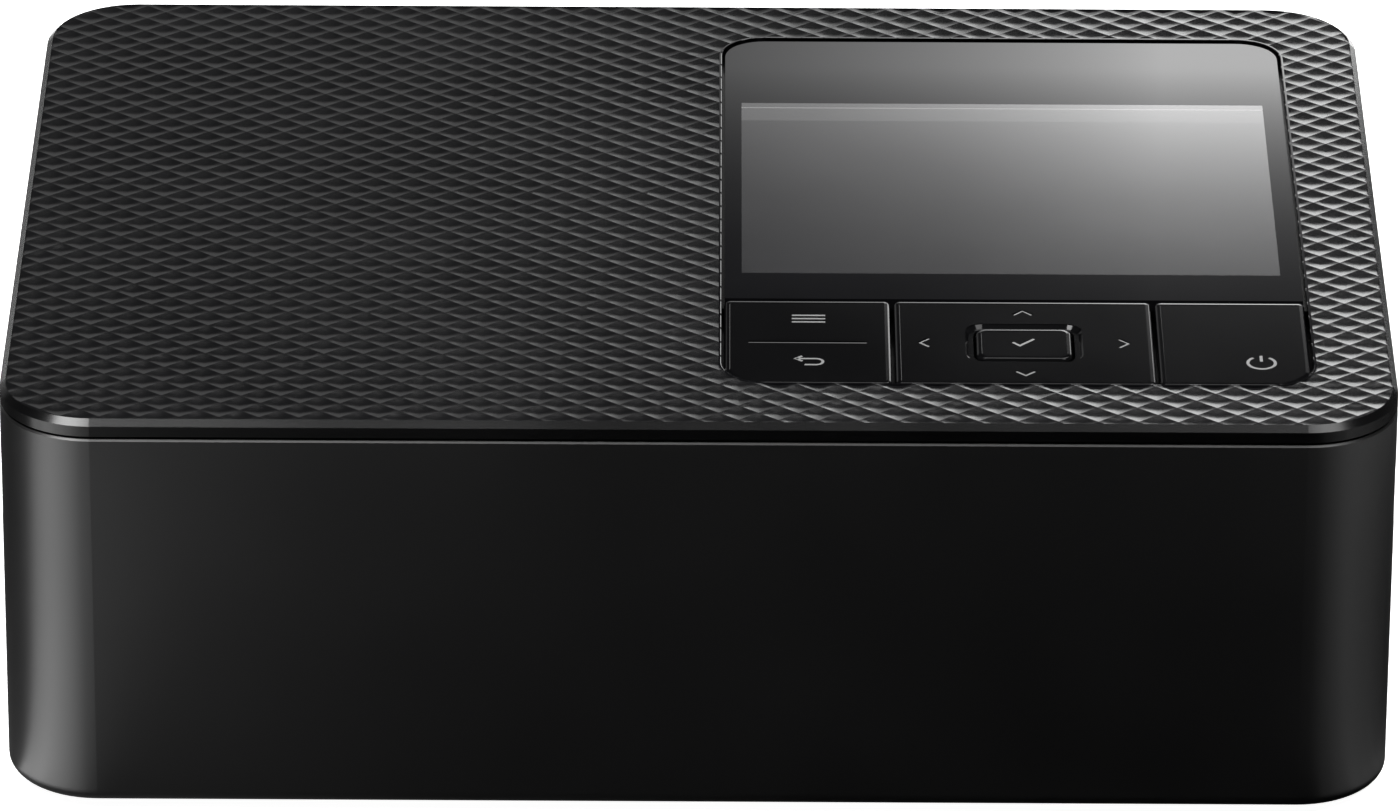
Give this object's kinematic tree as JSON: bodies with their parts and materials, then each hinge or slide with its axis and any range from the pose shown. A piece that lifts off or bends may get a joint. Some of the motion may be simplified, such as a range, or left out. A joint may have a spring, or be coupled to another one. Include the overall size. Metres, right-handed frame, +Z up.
{
  "type": "compact photo printer",
  "caption": "Low, flat photo printer: drop-down front cover, side ribbon door, tilting keys and display window on top, geared print unit inside.",
  "frame": {"origin": "middle of the printer's plan, at the underside of its feet", "axes": "+X to the right seen from the front, -Y is the front with the drop-down cover, +Z up"},
  "size_m": [0.1822, 0.133, 0.0576],
  "materials": {
    "case_black": "satin moulded, very fine grain",
    "top_black": "moulded with a fine diamond relief, semi-gloss",
    "key_black": "smooth satin",
    "window": "polished smoked cover window",
    "screen": "display panel, switched off",
    "inner_plastic": "moulded, fine grain",
    "foot": "matt",
    "steel_sheet": "zinc-plated sheet",
    "steel_shaft": "ground",
    "gear_plastic": "natural acetal",
    "circuit_board": "solder mask over laminate",
    "chip": "moulded epoxy",
    "roller_rubber": "ground rubber sleeve",
    "cassette_plastic": "moulded, fine grain",
    "ribbon_roll": "wound dye film",
    "film": "thin dye film",
    "ceramic": "glazed ceramic",
    "heatsink_alu": "extruded",
    "motor_can": "drawn can"
  },
  "bodies": {
    "chassis": {"base_pan": "inner_plastic", "body_shell": "case_black", "front_frame": "inner_plastic", "top_cover": "top_black", "rubber_feet": "foot", "case_screws": "steel_shaft", "front_hinge_pins": "steel_shaft", "ink_door_pin": "steel_shaft", "display_window": "window", "display_module": "screen", "display_bracket": "steel_sheet", "key_board": "circuit_board", "tact_switches": "chip", "io_board": "circuit_board", "card_socket": "steel_sheet", "usb_socket": "steel_sheet", "power_jack": "chip", "main_board": "circuit_board", "board_parts": "chip", "left_side_plate": "steel_sheet", "right_side_plate": "steel_sheet", "cross_stays": "steel_shaft", "paper_guide": "inner_plastic", "shaft_bushes": "gear_plastic", "idler_studs": "steel_shaft", "ribbon_film": "film", "ribbon_cassette": "cassette_plastic", "motor_bracket": "steel_sheet", "drive_motor": "motor_can"},
    "front_cover": {"front_cover": "case_black"},
    "ink_door": {"ink_door": "case_black"},
    "menu_key": {"menu_key": "key_black"},
    "nav_cradle": {"nav_cradle": "steel_sheet"},
    "nav_pad": {"nav_pad": "key_black"},
    "ok_key": {"ok_key": "key_black"},
    "power_key": {"power_key": "key_black"},
    "platen": {"platen_roller": "roller_rubber", "platen_gear": "gear_plastic"},
    "capstan": {"capstan_roller": "steel_shaft", "capstan_gear": "gear_plastic"},
    "pinch_roller": {"pinch_roller": "roller_rubber"},
    "feed_roller": {"feed_roller": "roller_rubber", "feed_gear": "gear_plastic"},
    "drive_idler": {"drive_idler": "gear_plastic"},
    "ribbon_idler": {"ribbon_idler": "gear_plastic"},
    "take_up_gear": {"take_up_gear": "gear_plastic"},
    "take_up": {"take_up_hub": "gear_plastic", "take_up_spool": "ribbon_roll"},
    "supply": {"supply_hub": "gear_plastic", "supply_spool": "ribbon_roll"},
    "motor_rotor": {"motor_pinion": "steel_shaft"},
    "print_head": {"print_head": "ceramic", "head_heatsink": "heatsink_alu", "head_carriage": "steel_sheet"},
    "cassette_lever": {"cassette_lever": "cassette_plastic"}
  },
  "joints": [
    {"name": "front_cover_hinge", "type": "hinge", "parent": "chassis", "child": "front_cover", "pos_m": [0, -0.061, 0.007], "axis": [1, 0, 0], "range_deg": [0, 90]},
    {"name": "ink_door_hinge", "type": "hinge", "parent": "chassis", "child": "ink_door", "pos_m": [0.0899, 0.0208, 0.0285], "axis": [0, 1, 0], "range_deg": [0, 95]},
    {"name": "menu_key_rock", "type": "hinge", "parent": "chassis", "child": "menu_key", "pos_m": [0.01422, -0.04115, 0.0557], "axis": [1, 0, 0], "range_deg": [-1.5, 1.5], "stiffness_Nm_per_rad": 0.05},
    {"name": "nav_tilt_side", "type": "hinge", "parent": "chassis", "child": "nav_cradle", "pos_m": [0.04267, -0.04115, 0.05473], "axis": [0, 1, 0], "range_deg": [-1.2, 1.2], "stiffness_Nm_per_rad": 0.05},
    {"name": "nav_tilt_front", "type": "hinge", "parent": "nav_cradle", "child": "nav_pad", "pos_m": [0.04267, -0.04115, 0.0557], "axis": [1, 0, 0], "range_deg": [-1.2, 1.2], "stiffness_Nm_per_rad": 0.05},
    {"name": "ok_key_press", "type": "slide", "parent": "chassis", "child": "ok_key", "axis": [0, 0, -1], "range_m": [0, 0.0004], "stiffness_N_per_m": 300, "springref_m": -0.0005},
    {"name": "power_key_press", "type": "slide", "parent": "chassis", "child": "power_key", "axis": [0, 0, -1], "range_m": [0, 0.0004], "stiffness_N_per_m": 300, "springref_m": -0.0005},
    {"name": "head_lift", "type": "slide", "parent": "chassis", "child": "print_head", "axis": [0, 0, 1], "range_m": [0, 0.003]},
    {"name": "cassette_lever_swing", "type": "hinge", "parent": "chassis", "child": "cassette_lever", "pos_m": [0.0876, -0.0145, 0.044], "axis": [1, 0, 0], "range_deg": [0, 12], "stiffness_Nm_per_rad": 0.002, "springref_deg": -11.46},
    {"name": "platen_spin", "type": "hinge", "parent": "chassis", "child": "platen", "pos_m": [0.02175, 0.021, 0.024], "axis": [1, 0, 0], "continuous": true},
    {"name": "capstan_spin", "type": "hinge", "parent": "chassis", "child": "capstan", "pos_m": [0.02175, 0.053, 0.0244], "axis": [1, 0, 0], "continuous": true},
    {"name": "pinch_spin", "type": "hinge", "parent": "chassis", "child": "pinch_roller", "pos_m": [0.02175, 0.053, 0.0319], "axis": [1, 0, 0], "continuous": true},
    {"name": "feed_spin", "type": "hinge", "parent": "chassis", "child": "feed_roller", "pos_m": [0.02175, 0.03077, 0.01236], "axis": [1, 0, 0], "continuous": true},
    {"name": "idler_spin", "type": "hinge", "parent": "chassis", "child": "drive_idler", "pos_m": [0.02175, 0.03737, 0.0278], "axis": [1, 0, 0], "continuous": true},
    {"name": "ribbon_idler_spin", "type": "hinge", "parent": "chassis", "child": "ribbon_idler", "pos_m": [0.02175, 0.00569, 0.02865], "axis": [1, 0, 0], "continuous": true},
    {"name": "take_up_gear_spin", "type": "hinge", "parent": "chassis", "child": "take_up_gear", "pos_m": [0.02175, 0, 0.041], "axis": [1, 0, 0], "continuous": true},
    {"name": "take_up_spin", "type": "hinge", "parent": "chassis", "child": "take_up", "pos_m": [0.02175, 0, 0.041], "axis": [1, 0, 0], "continuous": true},
    {"name": "supply_spin", "type": "hinge", "parent": "chassis", "child": "supply", "pos_m": [0.02175, 0.042, 0.041], "axis": [1, 0, 0], "continuous": true},
    {"name": "motor_spin", "type": "hinge", "parent": "chassis", "child": "motor_rotor", "pos_m": [0.02175, 0.01728, 0.0332], "axis": [1, 0, 0], "continuous": true}
  ],
  "couplings": [
    {"joint": "idler_spin", "follows": "platen_spin", "ratio": -1.1},
    {"joint": "capstan_spin", "follows": "platen_spin", "ratio": 1.1},
    {"joint": "feed_spin", "follows": "platen_spin", "ratio": -1.375},
    {"joint": "ribbon_idler_spin", "follows": "platen_spin", "ratio": -1.2222},
    {"joint": "take_up_gear_spin", "follows": "platen_spin", "ratio": 1.375},
    {"joint": "motor_spin", "follows": "platen_spin", "ratio": 3.6667},
    {"joint": "pinch_spin", "follows": "platen_spin", "ratio": -1.5033},
    {"joint": "take_up_spin", "follows": "platen_spin", "ratio": 0.83333},
    {"joint": "supply_spin", "follows": "platen_spin", "ratio": 0.59211}
  ]
}
